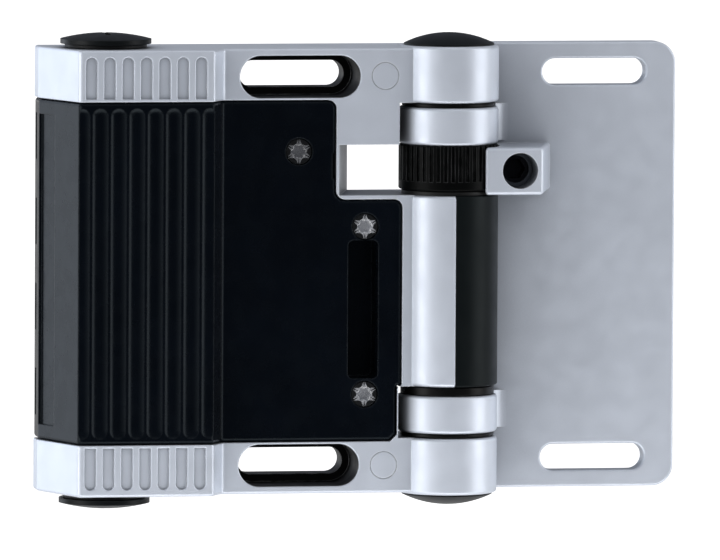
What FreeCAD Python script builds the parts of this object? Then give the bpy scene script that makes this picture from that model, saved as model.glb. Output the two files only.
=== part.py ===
import FreeCAD, Part
import math
import os

Vector = FreeCAD.Vector

# Hinge safety switch for machine guards, in millimetres.
# X runs across the hinge towards the door, Z up along the hinge axis. The mounting plane is Y = 0 and the
# front faces -Y. "depth" is the distance in front of the mounting plane, so Y = -depth.
# The hinge axis is at X = 0, and the origin lies on the mounting plane behind its middle.

# Housing outline
body_height = 94.0
body_left = 86.6  # hinge axis to the outer side
block_depth = 22.9  # raised end blocks and hump of the cover
flange_depth = 18.3
side_straight = 5.8  # straight foot of the outer side
side_lean = 6.3  # how far the outer side leans in above its foot
block_inner = 51.7  # hinge axis to where the raised part starts to step down
step_run = 2.7  # length in X of the step
flange_end = 3.0  # the flange's back ends this far short of the hinge axis
casting_round = 0.6  # rounding on the casting's outer edges
seam_round = 0.25  # rounding on the casting's edge beside the cover's ends
pin_mark_x = 14.6  # hinge axis to the ejector marks on the flange
pin_mark_inset = 5.9  # from the housing's end
pin_mark_r = 2.95
pin_mark_width = 0.2
pin_mark_depth = 0.12

# Hinge
barrel_r = 10.55
barrel_back = 1.75  # mounting plane to the back of barrel and rings
knuckle_height = 11.6  # up to the flange's end
knuckle_proud = 0.35  # beyond the flange's end
pin_r = 4.0
running_gap = 0.05  # radial, between a shaft and what turns on it
seat_gap = 0.02  # radial, between pieces that don't move against each other
outer_flange_gap = 1.0  # between knuckle and leaf ring, filled by a bush flange
inner_flange_gap = 2.0  # between lower leaf ring and barrel
leaf_ring_height = 7.9
end_gap = 0.1  # along the axis, between faces that turn against each other
washer_space = 1.0  # between barrel and setting ring
ring_room = 0.95  # between rings and the side of their cut-outs
ring_round = 0.7  # rounding on the ends of knuckles and rings
split_round = 0.4  # rounding along the barrel's split

# Bushes
bush_r = 6.0
bush_step = 0.65  # by which bush flanges are smaller than the rings

# Setting ring, a worm wheel with straight teeth, and its sleeve and cam
setting_ring_height = 9.5
collar_height = 1.9
teeth = 42
tooth_depth = 0.6
groove_top = 0.86  # width of a tooth space at the outside
groove_root = 0.56
sleeve_r = 6.0
key_width = 2.4
key_height = 0.9
sleeve_gap = 0.3  # radial, where the sleeve enters the barrel
cam_height = 5.0
cam_z = -5.0  # middle of the cam and of the plunger's head
cam_start = 6.4  # distance of the cam's flank from the axis at rest
cam_lift = 1.6  # over half a turn
cam_spare = 15.0  # degrees of cam flank beyond each end of the half turn
cam_points = 48

# Setting worm in the leaf's lug
mesh_step = 0.25  # from the ring's outside to where the worm's pitch fits
worm_pitch_r = 3.53
worm_rise = 4.2  # from the setting ring's lower face to the worm's axis
worm_r = 3.72
worm_gap = 0.08  # radial, between worm and lug
worm_root_r = 3.12
worm_tip = 0.28  # thread thickness at its tip
worm_base = 0.5
worm_foot = 3.2  # depth of the worm's inner end
worm_behind = 3.9  # length of thread behind the hinge axis
worm_before = 1.9  # and in front of it
socket_flats = 4.0
socket_depth = 3.6
retainer_thick = 1.0
retainer_bore_r = 2.9

# Door leaf
leaf_thick = 4.6
leaf_gap = 0.79  # between the plate's inner edge and the barrel
leaf_outer = 50.2
leaf_proud = 0.3  # beyond the housing's ends
leaf_corner_r = 4.5
leaf_fillet = 4.0  # between ring and plate
lug_left_wide = 7.53  # from the worm's axis to the lug's sides
lug_right_wide = 4.87
lug_splay = 4.45  # by which its right side leans out
lug_proud = 9.2  # in front of the hinge axis
lug_below = 5.1  # from the worm's axis
lug_above = 4.9
lug_ring_gap = 0.3
lug_sunk = 0.6  # its root inside the plate
lug_round = 0.8
arm_end = 0.5  # hinge axis to where the arms' backs start

# Mounting slots, for M5 screws, two in the housing and two in the leaf
slot_x = 32.7
slot_inset = 6.0  # from the housing's end
slot_length = 22.4
slot_width = 5.6
counterbore_rim = 1.65  # by which the counterbore is larger all round
counterbore_floor = 6.0
mouth_round = 0.5  # of the leaf's slots and outer edges
bore_round = 0.3  # of the counterbores' mouths

# Window that takes the lug when the leaf is folded over
window_left = 24.4  # at the flange's front
window_left_back = 19.6  # at the mounting plane
window_room = 0.2  # above the setting ring

# Cover and the tub under it
cover_end = 10.9  # from the housing's end to the cover's
cover_room = 0.2  # between the barrel and the cover's edge
cover_narrow = 24.95  # hinge axis to its edge beside the window
cover_step = 0.8  # from the barrel's upper end down to where the wide part ends
cover_low_rim = 0.25  # casting left between cover and lower cut-out
cover_sunk = 0.2  # cover's front below the casting's
cover_wall = 2.4
cover_seam = 0.15
cover_corner_r = 1.9
cover_notch = 1.4  # sloped corner at the lower cut-out
cover_round = 0.8
edge_nick_rise = 4.3  # above the wide part, a gap in the edge beside the window
edge_nick_length = 5.5
edge_nick_width = 0.7
edge_nick_floor = 16.6
gasket_thick = 0.6
ledge_width = 2.4
tub_wall = 1.8
tub_floor = 3.0
skirt_foot = 0.3

# Ribs
rib_pitch = 3.885
rib_first = 77.8  # hinge axis to the outermost rib of the cover
rib_count = 7
groove_width = 2.4
groove_depth = 0.6
groove_end = 1.5  # short of the housing's end
groove_lip = 0.6
groove_round = 0.25  # of the grooves' mouths
flute_width = 3.35
flute_depth = 0.55
flute_end = 1.3  # short of the cover's end

# Recess on the cover's leaning side, and notches at its foot
panel_low = 5.8
panel_high = 12.2
panel_end = 3.3  # from the cover's end
panel_depth = 0.6
foot_notch_count = 4
foot_notch_low = 10.0  # from the cover's lower end to the first one's middle
foot_notch_high = 8.2  # from its upper end to the last one's
foot_notch_length = 9.8
foot_notch_back = 1.2
foot_notch_front = 2.8
foot_notch_depth = 0.35

# Deep pocket in the cover
pocket_edge = 5.15  # from the cover's edge beside the barrel
pocket_width = 6.45
pocket_below = 3.3  # from the lower screw's middle to the pocket
pocket_above = 2.85  # and to the screw above it
pocket_floor = 10.2
pocket_wall = 0.8
pocket_r = 1.2

# Cover screws
screw_left = 32.9  # hinge axis to the screw on the narrow part
screw_edge = 7.95  # from the cover's edge to the two beside the pocket
screw_high = 10.9  # from the cover's upper end
screw_middle = 5.8  # below the wide part's upper end
screw_low = 10.0  # from the cover's lower end
screw_head_r = 2.7
screw_sink_r = 2.85
screw_sink = 0.35
screw_sink_round = 0.15
screw_head_rim = 0.4  # straight part of the head
screw_r = 1.5
screw_length = 9.0
screw_core_r = 1.25
torx_r = 1.7
torx_lobe_r = 0.25
torx_depth = 0.9
boss_r = 3.0

# Cable entries and their blanking plugs
entry_x = 73.1
entry_depth = 11.4
entry_r = 7.4
plug_r = 9.6
plug_rim = 1.0
plug_dome = 1.25
plug_stem = 8.0
plug_slot_width = 1.2
plug_slot_length = 9.0
plug_slot_depth = 0.8
plug_seal_r = 8.65
plug_seal_thick = 0.9

# Pin caps
cap_step = 1.0  # by which the caps are smaller than the knuckles
cap_rim = 0.35
cap_dome = 2.25
cap_spigot_r = 6.5
cap_spigot = 2.2
cap_socket = 2.5

# Barrel
barrel_wall = 1.95
barrel_wall_end = 2.0
seal_r = 7.4
seal_height = 1.7

# Plunger
stem_r = 1.3
stem_depth = 7.5
stem_short = 0.2  # of the contact block's end
head_gap = 0.3  # between cam and plunger's head at rest
head_thick = 1.6
head_low = 6.2
head_high = 14.3
head_width = 4.0
head_room = 0.5
collar_back = 9.6  # from the contact block's end
collar_r = 2.6
collar_thick = 0.8
spring_wire_r = 0.3
spring_r = 2.1
spring_turns = 5

# Contacts
block_room = 1.25  # between contact block and pocket
block_length = 33.4
block_wall = 1.5
block_half = 14.6
block_front = 12.6
channel_half = 7.6
channel_back = 4.4
contact_first = 5.4  # from the contact block's door end
contact_pitch = 7.0
contact_closed = [True, True, False]
bridge_thick = 0.5
bridge_half = 7.0
bridge_width = 3.6
contact_gap = 0.1
rivet_r = 1.1
rivet_thick = 0.3
rivet_z = 6.0
tab_start = 5.2
tab_thick = 0.8
bar_length = 3.2
bar_back = 9.8
bar_front = 10.7
bar_end = 13.4
terminal_z = 11.1
terminal_head_r = 2.3
terminal_head = 1.7
terminal_shank_r = 1.4
terminal_shank = 4.5
terminal_slot = 0.7

# Earth terminal
earth_x = 62.0
earth_z = 20.0
earth_boss_r = 3.6
earth_boss_front = 7.0
earth_head_r = 3.3
earth_head = 2.4
earth_shank_r = 1.7
earth_shank = 5.0

# Worked out from the values above
top = body_height / 2
slot_z = top - slot_inset
cover_half = top - cover_end
axis_depth = barrel_r + barrel_back
knuckle_end = top - knuckle_height
knuckle_top = top + knuckle_proud
leaf_top = top + leaf_proud
ring_outer_end = knuckle_end - outer_flange_gap
ring_inner_end = ring_outer_end - leaf_ring_height
barrel_bottom = -(ring_inner_end - inner_flange_gap)
setting_top = ring_inner_end - end_gap
setting_bottom = setting_top - setting_ring_height
barrel_top = setting_bottom - washer_space
ring_cut = barrel_r + ring_room
bush_flange_r = barrel_r - bush_step
barrel_bore_r = barrel_r - barrel_wall
mesh_r = barrel_r - mesh_step
worm_x = mesh_r + worm_pitch_r
worm_z = setting_bottom + worm_rise
worm_thread_from = axis_depth - worm_behind
worm_head = axis_depth + worm_before
leaf_inner = math.sqrt(barrel_r**2 - (axis_depth - leaf_thick) ** 2) + leaf_gap
cover_wide = barrel_r + cover_room
cover_shelf = barrel_top - cover_step
low_screw_z = screw_low - cover_half
middle_screw_z = cover_shelf - screw_middle
screw_places = [
    (-screw_left, cover_half - screw_high),
    (-cover_wide - screw_edge, middle_screw_z),
    (-cover_wide - screw_edge, low_screw_z),
]
pocket_right = cover_wide + pocket_edge
pocket_left = pocket_right + pocket_width
pocket_low = low_screw_z + pocket_below
pocket_high = middle_screw_z - pocket_above
block_right = pocket_left + block_room
block_left = block_right + block_length
contact_x = [block_right + contact_first + i * contact_pitch for i in range(len(contact_closed))]
stem_end = block_left - stem_short
collar_x = block_left - collar_back
lean = math.atan2(side_lean, block_depth - side_straight)
step_angle = math.atan2(block_depth - flange_depth, step_run)
cavity_inset = cover_sunk + cover_wall + gasket_thick
boss_front = flange_depth - cavity_inset
worm_pitch = 2 * math.pi * mesh_r / teeth
plunger_face = cam_start + head_gap
far = 100.0  # well outside the object


def point(x, depth, z=0.0):
    return Vector(x, -depth, z)


def rounded_wire(corners, place):
    """Closed wire through corners (u, v, radius); place turns u and v into a point."""
    points = [place(u, v) for u, v, _ in corners]
    stretches = []
    for i, here in enumerate(points):
        radius = corners[i][2]
        back = (points[i - 1] - here).normalize()
        ahead = (points[(i + 1) % len(points)] - here).normalize()
        if radius == 0:
            stretches.append((here, None, here))
            continue
        half = back.getAngle(ahead) / 2
        reach = radius / math.tan(half)
        middle = (back + ahead).normalize()
        crest = here + middle * (radius / math.sin(half) - radius)
        stretches.append((here + back * reach, crest, here + ahead * reach))
    edges = []
    for i, (start, crest, end) in enumerate(stretches):
        before = stretches[i - 1][2]
        if before.distanceToPoint(start) > 1e-6:
            edges.append(Part.makeLine(before, start))
        if crest:
            edges.append(Part.Arc(start, crest, end).toShape())
    return Part.Wire(edges)


def top_prism(corners, z0, z1):
    """Outline (x, depth, radius) seen from above, drawn out from z0 to z1."""
    wire = rounded_wire(corners, lambda x, depth: point(x, depth, z0))
    return Part.Face(wire).extrude(Vector(0, 0, z1 - z0))


def front_prism(corners, depth0, depth1):
    """Outline (x, z, radius) seen from the front, drawn out from depth0 to depth1."""
    wire = rounded_wire(corners, lambda x, z: point(x, depth0, z))
    return Part.Face(wire).extrude(Vector(0, depth0 - depth1, 0))


def side_prism(corners, x0, x1):
    """Outline (depth, z, radius) seen from the side, drawn out from x0 to x1."""
    wire = rounded_wire(corners, lambda depth, z: point(x0, depth, z))
    return Part.Face(wire).extrude(Vector(x1 - x0, 0, 0))


def turned(corners, x, depth):
    """Outline (radius, z, rounding) turned about an axis along Z."""
    wire = rounded_wire(corners, lambda r, z: point(x + r, depth, z))
    return Part.Face(wire).revolve(point(x, depth), Vector(0, 0, 1), 360)


def turned_front(corners, x, z):
    """Outline (radius, depth, rounding) turned about an axis along the depth."""
    wire = rounded_wire(corners, lambda r, depth: point(x + r, depth, z))
    return Part.Face(wire).revolve(point(x, 0, z), Vector(0, 1, 0), 360)


def mirrored(shape):
    """The same piece at the object's lower end."""
    return shape.mirror(Vector(0, 0, 0), Vector(0, 0, 1))


def box(x0, x1, depth0, depth1, z0, z1):
    return Part.makeBox(x1 - x0, depth1 - depth0, z1 - z0, point(x0, depth1, z0))


def rod_z(radius, x, depth, z0, z1):
    return Part.makeCylinder(radius, z1 - z0, point(x, depth, z0))


def rod_y(radius, x, z, depth0, depth1):
    return Part.makeCylinder(radius, depth1 - depth0, point(x, depth1, z), Vector(0, 1, 0))


def rod_x(radius, depth, z, x0, x1):
    return Part.makeCylinder(radius, x1 - x0, point(x0, depth, z), Vector(1, 0, 0))


def slot_prism(length, width, x, z, depth0, depth1):
    """Slot along X with round ends, along the depth."""
    u = length / 2
    v = width / 2
    corners = [(x - u, z - v, v), (x + u, z - v, v), (x + u, z + v, v), (x - u, z + v, v)]
    return front_prism(corners, depth0, depth1)


def fuse(shapes):
    return shapes[0].multiFuse(shapes[1:]).removeSplitter()


def round_edges(shape, radius, chosen):
    """Rounds the edges whose bounding box passes the test."""
    return shape.makeFillet(radius, [e for e in shape.Edges if chosen(e.BoundBox)])


def flat_at(low, high, place, tolerance=1e-3):
    return abs(low - place) < tolerance and abs(high - place) < tolerance


# Outlines that housing, cover and gasket share


def shoulder(inset):
    """Corners (x, depth) of the outer surface from the left foot to the flange, moved inwards."""
    step_shift = inset * math.tan(step_angle / 2)
    return [
        (-body_left + inset, side_straight - inset * math.tan(lean / 2)),
        (-body_left + side_lean + inset * math.tan((math.pi / 2 - lean) / 2), block_depth - inset),
        (-block_inner - step_shift, block_depth - inset),
        (-block_inner + step_run - step_shift, flange_depth - inset),
    ]


def cover_outline(inset, left):
    """The cover seen from the front, moved inwards by inset, from X = left."""
    high = cover_half - inset
    wide = -cover_wide - inset
    narrow = -cover_narrow - inset
    low = -ring_cut - cover_low_rim - inset
    convex = max(cover_corner_r - inset, 0.4)
    return [
        (left, -high, 0),
        (low - cover_notch, -high, 0.5),
        (low, -high + cover_notch, 0.5),
        (low, barrel_bottom + inset, 0.5),
        (wide, barrel_bottom + inset, 0.5),
        (wide, cover_shelf - inset, convex),
        (narrow, cover_shelf - inset, cover_corner_r + inset),
        (narrow, high, convex),
        (left, high, 0),
    ]


# Housing


def block_prism(low, high):
    """End blocks, step and flange as one drawn-out outline."""
    left, front, inner, flange = shoulder(0)
    corners = [
        (-body_left, 0, 0.5),
        (*left, 1.5),
        (*front, 1.2),
        (*inner, 0.8),
        (*flange, 0.8),
        (-flange_end, flange_depth, 0),
        (-flange_end, 0, 0),
    ]
    return top_prism(corners, low, high)


def block_body():
    """Drawn-out outline with rounded ends."""
    body = block_prism(-top, top)

    def end_edge(b):
        at_end = flat_at(b.ZMin, b.ZMax, top) or flat_at(b.ZMin, b.ZMax, -top)
        on_back = flat_at(b.YMin, b.YMax, 0)
        on_side = flat_at(b.XMin, b.XMax, -flange_end)
        return at_end and not on_back and not on_side

    return round_edges(body, casting_round, end_edge)


def seam_slivers():
    """What rounds the casting's edge along both ends of the cover."""
    block = block_prism(cover_half, top)

    def seam_edge(b):
        on_back = flat_at(b.YMin, b.YMax, 0)
        on_side = flat_at(b.XMin, b.XMax, -flange_end)
        return flat_at(b.ZMin, b.ZMax, cover_half) and not on_back and not on_side

    sliver = block.cut(round_edges(block, seam_round, seam_edge))
    upper = sliver.common(box(-far, -cover_narrow - cover_corner_r, -1, far, 0, top))
    lower = sliver.common(box(-far, -ring_cut - cover_low_rim - cover_notch, -1, far, 0, top))
    return [upper, mirrored(lower)]


def with_round_mouths(cuts, radius, slab):
    """The cuts with their mouths in the slab's front rounded over."""
    rim = slab.BoundBox

    def mouth(b):
        across = b.XMin > rim.XMin + 0.01 and b.XMax < rim.XMax - 0.01
        along = b.ZMin > rim.ZMin + 0.01 and b.ZMax < rim.ZMax - 0.01
        return flat_at(b.YMin, b.YMax, rim.YMin) and across and along

    return slab.cut(round_edges(slab.cut(cuts), radius, mouth))


def hinge_ring(z0, z1, rounding):
    corners = [(0, z0, 0), (barrel_r, z0, rounding), (barrel_r, z1, rounding), (0, z1, 0)]
    return turned(corners, 0, axis_depth)


def barrel_half():
    """Left half of the barrel, with full discs at both ends that carry the barrel cover."""
    whole = hinge_ring(barrel_bottom, barrel_top, ring_round)
    left_half = whole.common(box(-far, 0, -far, far, -far, far))
    front = -axis_depth - barrel_r
    left_half = round_edges(left_half, split_round, lambda b: flat_at(b.YMin, b.YMax, front))
    low_disc = rod_z(barrel_bore_r, 0, axis_depth, barrel_bottom, barrel_bottom + barrel_wall_end)
    high_disc = rod_z(barrel_bore_r, 0, axis_depth, barrel_top - barrel_wall_end, barrel_top)
    return [left_half, low_disc, high_disc]


def cover_space():
    """What the cover, its skirt and the gasket take out of the housing."""
    left, front, inner, flange = shoulder(cavity_inset)
    corners = [
        (-far, -1, 0),
        (-far, far, 0),
        (0, far, 0),
        (0, flange[1], 0),
        (*flange, 0),
        (*inner, 0),
        (*front, 0),
        (*left, 0),
        (left[0], -1, 0),
    ]
    outside = top_prism(corners, -far, far)
    return outside.common(front_prism(cover_outline(0, -far), -1, far))


def cavity():
    left = shoulder(cavity_inset + tub_wall)[0]
    rise = far - left[1]
    corners = [
        (left[0], tub_floor, 0),
        (*left, 0),
        (left[0] + rise * math.tan(lean), far, 0),
        (0, far, 0),
        (0, tub_floor, 0),
    ]
    inside = top_prism(corners, -far, far)
    return inside.common(front_prism(cover_outline(ledge_width, -far), -1, far))


def window():
    """Drafted opening, open towards the rings."""
    slope = (window_left - window_left_back) / flange_depth
    corners = [
        (-window_left_back + slope, -1, 0),
        (0, -1, 0),
        (0, far, 0),
        (-window_left_back - slope * far, far, 0),
    ]
    return top_prism(corners, barrel_top, setting_top + window_room)


def hinge_cuts():
    """Room for leaf rings, setting ring and bush flanges."""
    upper = box(-ring_cut, far, -1, far, barrel_top, knuckle_end)
    lower = box(-ring_cut, far, -1, far, -knuckle_end, barrel_bottom)
    return [upper, lower]


def pin_cuts():
    pin_bore = rod_z(pin_r + seat_gap, 0, axis_depth, -top - 1, top + 1)
    socket = rod_z(cap_spigot_r + seat_gap, 0, axis_depth, knuckle_top - cap_socket, top + 1)
    return [pin_bore, socket, mirrored(socket)]


def barrel_cuts():
    """Bore for the cam, seat of the shaft seal, way in for the sleeve, and room for the plunger."""
    bore = rod_z(barrel_bore_r, 0, axis_depth, barrel_bottom + barrel_wall_end, barrel_top - barrel_wall_end)
    seal_seat = rod_z(seal_r + seat_gap, 0, axis_depth, barrel_top - seal_height, barrel_top + 1)
    sleeve_way = rod_z(sleeve_r + sleeve_gap, 0, axis_depth, 0, barrel_top + 1)
    travel = plunger_face + head_thick + cam_lift + head_room
    half = head_width / 2 + head_room
    chamber = box(-travel, 0, head_low - head_room, head_high + head_room, cam_z - half, cam_z + half)
    guide = rod_x(stem_r + running_gap, stem_depth, cam_z, -cover_wide - 2 * ledge_width, 0)
    return [bore, seal_seat, sleeve_way, chamber, guide]


def mounting_slots():
    """Through slots and counterbores in the flange."""
    length = slot_length + 2 * counterbore_rim
    width = slot_width + 2 * counterbore_rim
    cuts = []
    for z in (-slot_z, slot_z):
        bore = slot_prism(length, width, -slot_x, z, counterbore_floor, far)
        u = length / 2 + 1
        v = width / 2 + 1
        slab = box(-slot_x - u, -slot_x + u, counterbore_floor, flange_depth, z - v, z + v)
        cuts.append(slot_prism(slot_length, slot_width, -slot_x, z, -1, far))
        cuts.append(with_round_mouths([bore], bore_round, slab))
    return cuts


def cable_entries():
    upper = rod_z(entry_r, -entry_x, entry_depth, 0, top + 1)
    return [upper, mirrored(upper)]


def block_grooves():
    """Rows of grooves with round outer ends on the fronts of both end blocks."""
    cuts = []
    for i in range(rib_count):
        x = -rib_first + i * rib_pitch
        u = groove_width / 2
        low = cover_half + groove_lip
        high = top - groove_end
        corners = [(x - u, low, 0.2), (x + u, low, 0.2), (x + u, high, u), (x - u, high, u)]
        cuts.append(front_prism(corners, block_depth - groove_depth, far))
    last = -rib_first + rib_count * rib_pitch
    slab = box(-rib_first - rib_pitch, last, block_depth - groove_depth, block_depth, cover_half, top)
    upper = with_round_mouths(cuts, groove_round, slab)
    return [upper, mirrored(upper)]


def pin_marks():
    """Rings left by ejector pins on the flange."""
    floor = flange_depth - pin_mark_depth
    z = top - pin_mark_inset
    mark = rod_y(pin_mark_r, -pin_mark_x, z, floor, far)
    mark = mark.cut(rod_y(pin_mark_r - pin_mark_width, -pin_mark_x, z, 0, far))
    return [mark, mirrored(mark)]


def bosses():
    """Posts for the cover screws, clear of the cover's pocket, and the earth boss."""
    posts = [rod_y(boss_r, x, z, tub_floor - 1, boss_front) for x, z in screw_places]
    room = pocket_cup(pocket_wall + cover_seam)
    earth = rod_y(earth_boss_r, -earth_x, earth_z, tub_floor - 1, earth_boss_front)
    return [post.cut(room) for post in posts] + [earth]


def housing():
    body = block_body().cut(hinge_cuts() + [window()] + mounting_slots())
    knuckle = hinge_ring(knuckle_end, knuckle_top, ring_round)
    body = fuse([body, knuckle, mirrored(knuckle)] + barrel_half())
    body = body.cut([cover_space(), cavity()])
    body = fuse([body] + bosses())
    screw_cores = [rod_y(screw_core_r, x, z, tub_floor - 0.5, far) for x, z in screw_places]
    earth_core = rod_y(earth_shank_r + seat_gap, -earth_x, earth_z, earth_boss_front - earth_shank, far)
    holes = cable_entries() + pin_cuts() + barrel_cuts() + screw_cores + [earth_core]
    return body.cut(holes + block_grooves() + seam_slivers() + pin_marks()).removeSplitter()


# Cover, gasket and cover screws


def pocket_cup(grow):
    """Block round the cover's pocket, grown sideways, from behind its floor to the cover's front."""
    corners = [
        (-pocket_left - grow, pocket_low - grow, pocket_r),
        (-pocket_right + grow, pocket_low - grow, pocket_r),
        (-pocket_right + grow, pocket_high + grow, pocket_r),
        (-pocket_left - grow, pocket_high + grow, pocket_r),
    ]
    return front_prism(corners, pocket_floor - pocket_wall, flange_depth - cover_sunk)


def cover_block():
    """The cover's outside as a closed block with its edges rounded."""
    left, front, inner, flange = shoulder(cover_sunk)
    corners = [
        (left[0], skirt_foot, 0),
        (*left, 1.5),
        (*front, 1.2),
        (*inner, 0.8),
        (*flange, 0.8),
        (0, flange[1], 0),
        (0, skirt_foot, 0),
    ]
    whole = top_prism(corners, -far, far)
    block = whole.common(front_prism(cover_outline(cover_seam, -far), -1, far))
    high = cover_half - cover_seam
    face = -(flange_depth - cover_sunk)

    def outer_edge(b):
        along_depth = flat_at(b.XMin, b.XMax, b.XMin) and flat_at(b.ZMin, b.ZMax, b.ZMin)
        on_back = flat_at(b.YMin, b.YMax, -skirt_foot)
        at_end = flat_at(b.ZMin, b.ZMax, high) or flat_at(b.ZMin, b.ZMax, -high)
        on_rim = flat_at(b.YMin, b.YMax, face) and b.XMin > -cover_narrow - 5
        return (at_end or on_rim) and not on_back and not along_depth

    return round_edges(block, cover_round, outer_edge)


def cover_inside():
    left, front, inner, flange = shoulder(cover_sunk + cover_wall)
    corners = [
        (left[0], -1, 0),
        (*left, 0),
        (*front, 0),
        (*inner, 0),
        (*flange, 0),
        (far, flange[1], 0),
        (far, -1, 0),
    ]
    return top_prism(corners, -far, far)


def flutes():
    """Hollow flutes with round ends between the ribs of the hump."""
    half = flute_width / 2
    radius = (half**2 + flute_depth**2) / (2 * flute_depth)
    depth = block_depth - cover_sunk - flute_depth + radius
    reach = cover_half - flute_end - half
    cuts = []
    for i in range(rib_count + 1):
        x = -rib_first + (i - 0.5) * rib_pitch
        cuts.append(rod_z(radius, x, depth, -reach, reach))
        cuts.append(Part.makeSphere(radius, point(x, depth, reach)))
        cuts.append(Part.makeSphere(radius, point(x, depth, -reach)))
    return cuts


def side_panel():
    """Shallow recess on the leaning side."""
    inset = cover_sunk + panel_depth

    def side_x(depth):
        return -body_left + inset / math.cos(lean) + (depth - side_straight) * math.tan(lean)

    corners = [
        (-far, panel_low, 0),
        (side_x(panel_low), panel_low, 0),
        (side_x(panel_high), panel_high, 0),
        (-far, panel_high, 0),
    ]
    return top_prism(corners, panel_end - cover_half, cover_half - panel_end)


def foot_notches():
    x = -body_left + cover_sunk + foot_notch_depth
    half = foot_notch_length / 2
    pitch = (2 * cover_half - foot_notch_low - foot_notch_high) / (foot_notch_count - 1)
    places = [foot_notch_low - cover_half + i * pitch for i in range(foot_notch_count)]
    return [box(-far, x, foot_notch_back, foot_notch_front, z - half, z + half) for z in places]


def screw_sinks():
    """Sunk seats and clearance holes for the countersunk cover screws."""
    face = flange_depth - cover_sunk
    rim = face - screw_sink - screw_head_rim
    cuts = []
    for x, z in screw_places:
        corners = [
            (0, far, 0),
            (2 * screw_sink_r, far, 0),
            (2 * screw_sink_r, face, 0),
            (screw_sink_r, face, screw_sink_round),
            (screw_sink_r, rim, 0),
            (screw_r + seat_gap, rim - screw_sink_r + screw_r, 0),
            (screw_r + seat_gap, 0, 0),
            (0, 0, 0),
        ]
        cuts.append(turned_front(corners, x, z))
    return cuts


def cover():
    shell = cover_block().cut(cover_inside())
    shell = fuse([shell, pocket_cup(pocket_wall)])
    pocket = pocket_cup(0).common(box(-far, far, pocket_floor, far, -far, far))
    edge = -cover_narrow - cover_seam
    low = cover_shelf + edge_nick_rise
    nick = box(edge - edge_nick_width, far, edge_nick_floor, far, low, low + edge_nick_length)
    cuts = [pocket, nick, side_panel()] + flutes() + foot_notches() + screw_sinks()
    return shell.cut(cuts).removeSplitter()


def cover_gasket():
    """Flat gasket that follows the ledge over hump, step and flange."""
    outer = shoulder(cover_sunk + cover_wall)
    inner = shoulder(cavity_inset)
    corners = [(-far, outer[1][1], 0)]
    corners += [(*corner, 0) for corner in outer[2:]]
    corners += [(0, outer[3][1], 0), (0, inner[3][1], 0)]
    corners += [(*corner, 0) for corner in (inner[3], inner[2])]
    corners += [(-far, inner[2][1], 0)]
    sheet = top_prism(corners, -far, far)
    wall_outside = inner[1][0] + gasket_thick
    wall_inside = wall_outside + tub_wall - gasket_thick
    outside = front_prism(cover_outline(2 * cover_seam, wall_outside), 0, far)
    inside = front_prism(cover_outline(ledge_width, wall_inside), -1, far)
    return sheet.common(outside).cut(inside)


def torx_recess(x, z, face):
    corners = []
    for i in range(12):
        radius = torx_r + torx_lobe_r / 2 if i % 2 == 0 else torx_r * 0.74
        angle = math.pi * i / 6
        corners.append((x + radius * math.cos(angle), z + radius * math.sin(angle), torx_lobe_r))
    return front_prism(corners, face - torx_depth, far)


def cover_screws():
    face = flange_depth - cover_sunk - screw_sink
    screws = []
    for x, z in screw_places:
        corners = [
            (0, face, 0),
            (screw_head_r, face, 0.1),
            (screw_head_r, face - screw_head_rim, 0),
            (screw_r, face - screw_head_rim - screw_head_r + screw_r, 0),
            (screw_r, boss_front + 0.4, 0),
            (screw_core_r - seat_gap, boss_front + 0.1, 0),
            (screw_core_r - seat_gap, face - screw_length, 0.3),
            (0, face - screw_length, 0),
        ]
        screws.append(turned_front(corners, x, z).cut(torx_recess(x, z, face)))
    return Part.makeCompound(screws)


# Plugs and caps


def domed(x, depth, stem_r, stem, rim_r, rim, dome, z):
    """Round cap with a stem below z, a straight rim and a low dome."""
    corners = [
        Vector(x, -depth, z - stem),
        Vector(x + stem_r, -depth, z - stem),
        Vector(x + stem_r, -depth, z),
        Vector(x + rim_r, -depth, z),
        Vector(x + rim_r, -depth, z + rim),
        Vector(x, -depth, z + rim + dome),
    ]
    ball_r = (rim_r**2 + dome**2) / (2 * dome)
    halfway = rim_r / 2
    crest = Vector(x + halfway, -depth, z + rim + dome - ball_r + math.sqrt(ball_r**2 - halfway**2))
    edges = [Part.makeLine(a, b) for a, b in zip(corners, corners[1:-1])]
    edges.append(Part.Arc(corners[4], crest, corners[5]).toShape())
    edges.append(Part.makeLine(corners[5], corners[0]))
    return Part.Face(Part.Wire(edges)).revolve(corners[0], Vector(0, 0, 1), 360)


def pin_cap():
    cap_r = barrel_r - cap_step
    return domed(0, axis_depth, cap_spigot_r, cap_spigot, cap_r, cap_rim, cap_dome, knuckle_top)


def blanking_plug():
    seat = top + plug_seal_thick
    stem_r = entry_r - running_gap
    plug = domed(-entry_x, entry_depth, stem_r, plug_stem, plug_r, plug_rim, plug_dome, seat)
    half = plug_slot_width / 2
    crown = seat + plug_rim + plug_dome
    low = entry_depth - plug_slot_length / 2
    slot = box(-entry_x - half, -entry_x + half, low, low + plug_slot_length, crown - plug_slot_depth, far)
    return plug.cut(slot)


def plug_seal():
    corners = [
        (entry_r, top, 0),
        (plug_seal_r, top, 0.2),
        (plug_seal_r, top + plug_seal_thick, 0.2),
        (entry_r, top + plug_seal_thick, 0),
    ]
    return turned(corners, -entry_x, entry_depth)


# Hinge


def hinge_pin():
    end = knuckle_top - cap_socket
    corners = [(0, -end, 0), (pin_r, -end, 0.5), (pin_r, end, 0.5), (0, end, 0)]
    return turned(corners, 0, axis_depth)


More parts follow.
